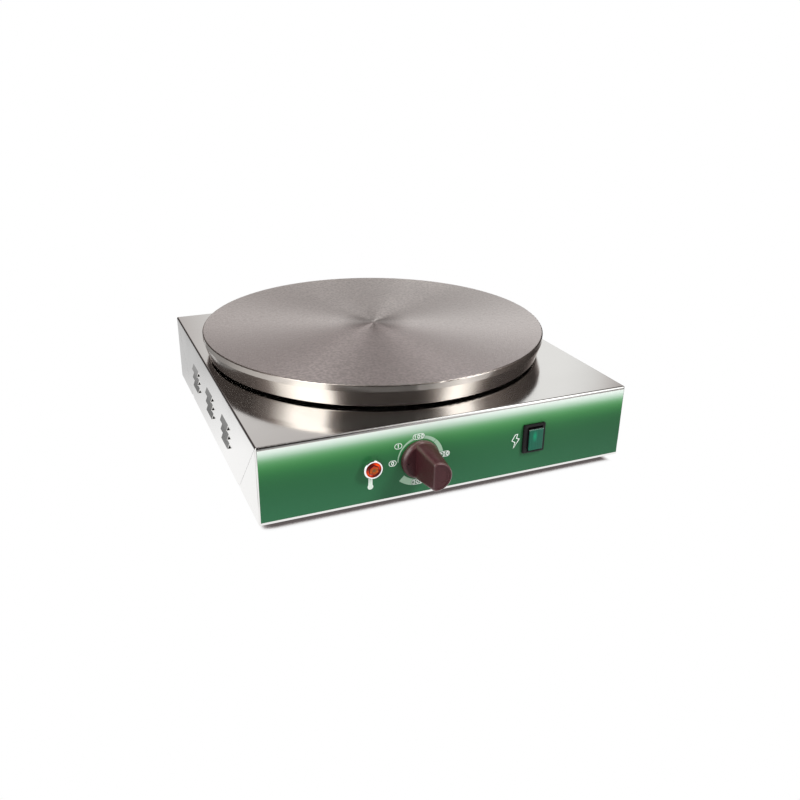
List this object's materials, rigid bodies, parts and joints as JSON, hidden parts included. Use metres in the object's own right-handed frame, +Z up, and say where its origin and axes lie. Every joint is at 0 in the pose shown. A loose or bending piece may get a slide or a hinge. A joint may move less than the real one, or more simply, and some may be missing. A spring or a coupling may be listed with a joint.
{
  "type": "electric crepe maker",
  "caption": "Countertop crepe griddle: a round cast iron plate on a low folded steel box, with a thermostat dial, a pilot lamp and a rocker switch on its green front.",
  "frame": {"origin": "on the surface it stands on, under the middle of the whole object", "axes": "+Z up; +Y from the control panel to the back; +X to the right of the person using it"},
  "size_m": [0.4098, 0.4786, 0.1142],
  "materials": {
    "stainless": "bright annealed stainless sheet, nearly a mirror",
    "griddle_iron": "turned cast iron, bare, with fine tool rings",
    "front_print": "printed film, green fading to white at the top, pale dial and symbols",
    "bakelite": "dark brown moulded phenolic with a soft sheen",
    "chrome_trim": "polished chrome",
    "lamp_lens": "orange faceted lens",
    "rocker_green": "translucent green, glossy",
    "black_plastic": "black moulded nylon",
    "rubber": "matt black rubber",
    "zinc_steel": "zinc-plated steel",
    "element_sheath": "heat-darkened sheath",
    "element_pin": "bare steel pin",
    "ceramic": "off-white ceramic",
    "mineral_mat": "mineral fibre board",
    "copper": "bare copper",
    "brass": "bare brass",
    "neon_glass": "small neon tube",
    "block_plastic": "cream moulded plastic",
    "wire_brown": "brown wire insulation",
    "wire_blue": "blue wire insulation",
    "wire_lamp": "grey wire insulation",
    "wire_earth": "green and yellow wire insulation"
  },
  "bodies": {
    "body": {"body_shell": "stainless", "seam_straps": "stainless", "bottom_plate": "stainless", "griddle_plate": "griddle_iron", "front_overlay": "front_print", "lamp_bezel": "chrome_trim", "lamp_lens": "lamp_lens", "switch_housing": "black_plastic", "lamp_body": "black_plastic", "thermostat_body": "black_plastic", "cable_gland": "black_plastic", "gland_nut": "black_plastic", "gland_locknut": "black_plastic", "rubber_feet": "rubber", "gland_seal": "rubber", "capillary_grommet": "rubber", "bottom_screws": "zinc_steel", "foot_bolts": "zinc_steel", "foot_nuts": "zinc_steel", "clamp_bars": "zinc_steel", "clamp_studs": "zinc_steel", "clamp_nuts": "zinc_steel", "shield_nuts": "zinc_steel", "plate_posts": "zinc_steel", "post_nuts": "zinc_steel", "post_washers": "zinc_steel", "support_rails": "zinc_steel", "heat_shield": "zinc_steel", "bulb_clips": "zinc_steel", "thermostat_screws": "zinc_steel", "lamp_nut": "zinc_steel", "earth_stud": "zinc_steel", "earth_nut": "zinc_steel", "heating_element": "element_sheath", "element_pins": "element_pin", "lead_bushes": "ceramic", "post_spacers": "ceramic", "insulation_mat": "mineral_mat", "sensing_bulb": "copper", "capillary_tube": "copper", "thermostat_tabs": "brass", "lamp_tabs": "brass", "switch_tabs": "brass", "terminal_screws": "brass", "neon_tube": "neon_glass", "terminal_block": "block_plastic", "wires_brown": "wire_brown", "wires_blue": "wire_blue", "wires_lamp": "wire_lamp", "wire_earth": "wire_earth"},
    "dial_knob": {"knob": "bakelite", "knob_bush": "black_plastic", "thermostat_shaft": "zinc_steel"},
    "rocker": {"switch_rocker": "black_plastic", "rocker_window": "rocker_green"}
  },
  "joints": [
    {"name": "knob_turn", "type": "hinge", "parent": "body", "child": "dial_knob", "pos_m": [-0.0392, -0.19575, 0.0458], "axis": [0, 1, 0], "range_deg": [0, 300]},
    {"name": "rocker_tilt", "type": "hinge", "parent": "body", "child": "rocker", "pos_m": [0.0907, -0.19475, 0.0458], "axis": [-1, 0, 0], "range_deg": [0, 14]}
  ]
}
